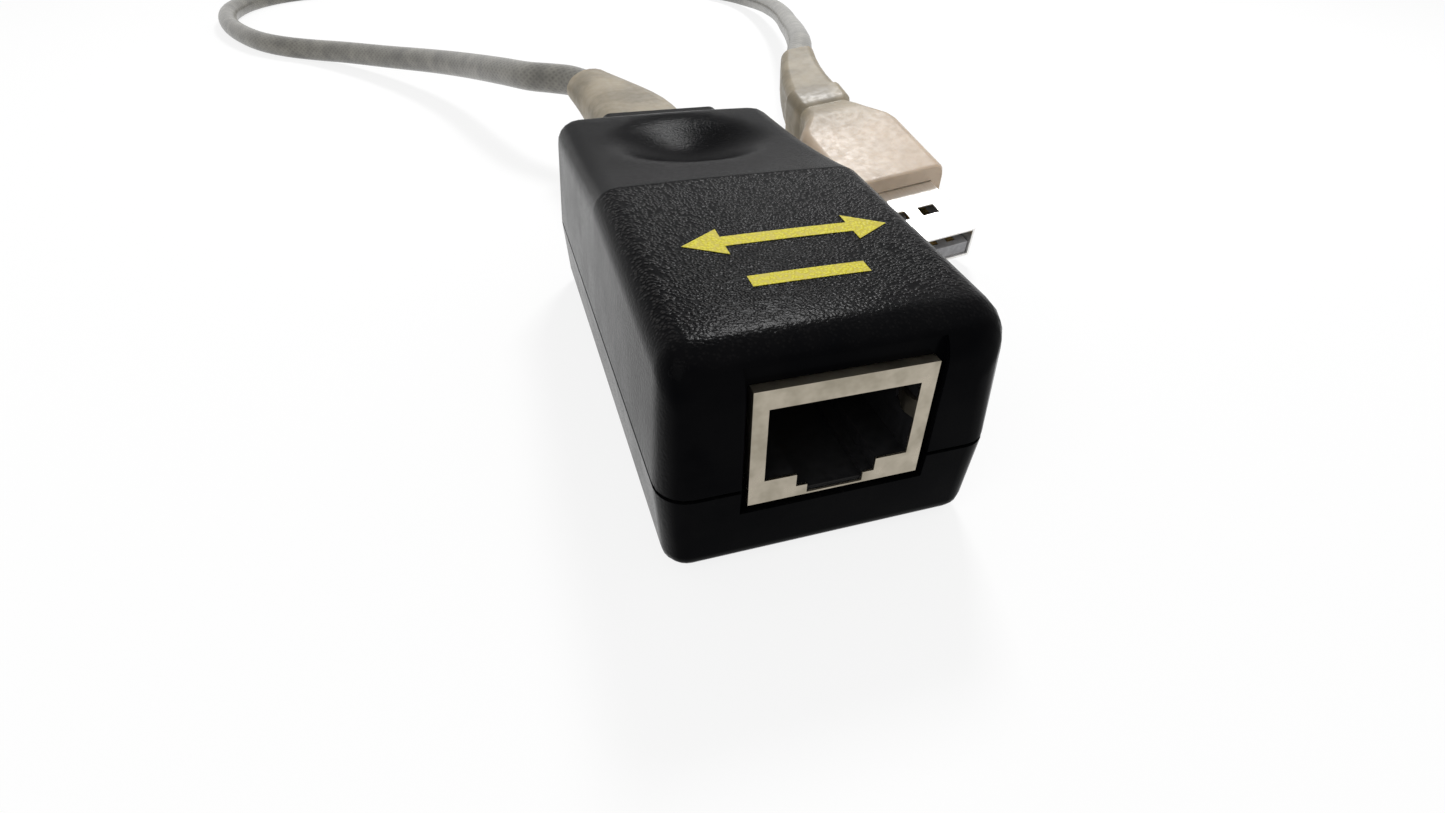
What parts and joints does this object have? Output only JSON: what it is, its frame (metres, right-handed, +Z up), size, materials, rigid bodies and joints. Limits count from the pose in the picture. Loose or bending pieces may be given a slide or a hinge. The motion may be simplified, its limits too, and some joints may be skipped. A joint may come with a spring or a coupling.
{
  "type": "signal extender adapter",
  "caption": "Small two-shell plastic adapter with a shielded network socket in front and a short lead with a bus plug behind, lying on a table.",
  "frame": {"origin": "Middle of the housing's footprint, on the surface that it stands on. The lead and its boot and plug are left out of that footprint.", "axes": "+X is the housing's right side seen from the socket, +Y runs from the socket to the lead's exit, +Z is up."},
  "size_m": [0.1652, 0.2927, 0.0222],
  "materials": {
    "black_plastic": "fine grained black moulding, smoother on the sides",
    "board_laminate": "green solder mask",
    "nickel": "nickel-plated sheet",
    "socket_plastic": "dark moulded insulator",
    "gold_contact": "gold-plated spring alloy",
    "chip_plastic": "moulded package",
    "ferrite": "pressed ferrite",
    "can_aluminium": "drawn can",
    "ceramic_tan": "fired ceramic",
    "wire_red": "extruded insulation",
    "wire_white": "extruded insulation",
    "wire_green": "extruded insulation",
    "wire_black": "extruded insulation",
    "tinned_copper": "tinned strands",
    "cable_jacket": "clear grey vinyl over a metal braid",
    "beige_vinyl": "slightly translucent beige vinyl",
    "inner_mould": "moulded core",
    "plug_steel": "bright nickel-plated sheet",
    "tongue_plastic": "moulded insulator"
  },
  "bodies": {
    "root": {"lower_shell": "black_plastic", "upper_shell": "black_plastic", "circuit_board": "board_laminate", "jack_shield": "nickel", "jack_body": "socket_plastic", "jack_insert": "socket_plastic", "jack_contacts": "gold_contact", "driver_chip": "chip_plastic", "regulator": "chip_plastic", "line_choke": "ferrite", "bulk_capacitor": "can_aluminium", "ceramic_capacitors": "ceramic_tan", "chip_resistors": "chip_plastic", "red_wire": "wire_red", "white_wire": "wire_white", "green_wire": "wire_green", "black_wire": "wire_black", "drain_wire": "tinned_copper", "jacket_end": "cable_jacket", "cable_boot": "beige_vinyl", "cable": "cable_jacket", "plug_grip": "beige_vinyl", "plug_inner_mould": "inner_mould", "plug_shell": "plug_steel", "plug_insulator": "tongue_plastic", "plug_contacts": "gold_contact"}
  },
  "joints": []
}
